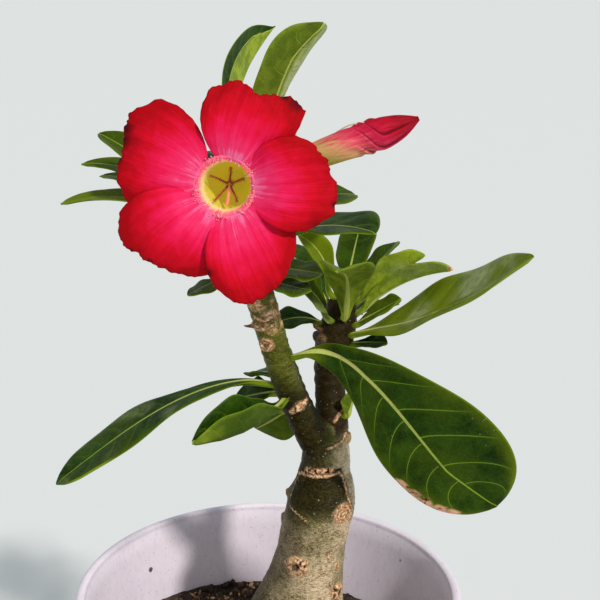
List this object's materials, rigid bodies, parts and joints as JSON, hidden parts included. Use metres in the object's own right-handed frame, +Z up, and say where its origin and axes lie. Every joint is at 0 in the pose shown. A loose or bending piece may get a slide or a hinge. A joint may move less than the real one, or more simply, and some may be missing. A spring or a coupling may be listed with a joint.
{
  "type": "potted desert rose",
  "caption": "Potted desert rose with a swollen stem, two branches, leathery leaves, one open red flower and a bud, in a plain lilac pot.",
  "frame": {"origin": "centre of the pot's flat underside", "axes": "+Z up along the pot's axis; the flower faces -Y and the bud and the broad leaf reach towards +X"},
  "size_m": [0.1339, 0.12, 0.2896],
  "materials": {
    "lilac_pot": "matte",
    "dark_soil": "rough",
    "bark": "satin",
    "leaf_green": "glossy",
    "crimson": "velvety",
    "anther_red": "matte",
    "calyx_green": "satin"
  },
  "bodies": {
    "root": {"anthers": "anther_red", "bud": "crimson", "bud_calyx": "calyx_green", "corolla": "crimson", "crown_leaf_1": "leaf_green", "crown_leaf_10": "leaf_green", "crown_leaf_11": "leaf_green", "crown_leaf_12": "leaf_green", "crown_leaf_13": "leaf_green", "crown_leaf_2": "leaf_green", "crown_leaf_3": "leaf_green", "crown_leaf_4": "leaf_green", "crown_leaf_5": "leaf_green", "crown_leaf_6": "leaf_green", "crown_leaf_7": "leaf_green", "crown_leaf_8": "leaf_green", "crown_leaf_9": "leaf_green", "flower_calyx": "calyx_green", "leaf_broad": "leaf_green", "leaf_cupped": "leaf_green", "leaf_long": "leaf_green", "leaf_shaded": "leaf_green", "leaf_small_left": "leaf_green", "leaf_tucked": "leaf_green", "pot": "lilac_pot", "rear_leaf_1": "leaf_green", "rear_leaf_10": "leaf_green", "rear_leaf_11": "leaf_green", "rear_leaf_12": "leaf_green", "rear_leaf_13": "leaf_green", "rear_leaf_14": "leaf_green", "rear_leaf_2": "leaf_green", "rear_leaf_3": "leaf_green", "rear_leaf_4": "leaf_green", "rear_leaf_5": "leaf_green", "rear_leaf_6": "leaf_green", "rear_leaf_7": "leaf_green", "rear_leaf_8": "leaf_green", "rear_leaf_9": "leaf_green", "soil": "dark_soil", "trunk": "bark"}
  },
  "joints": []
}
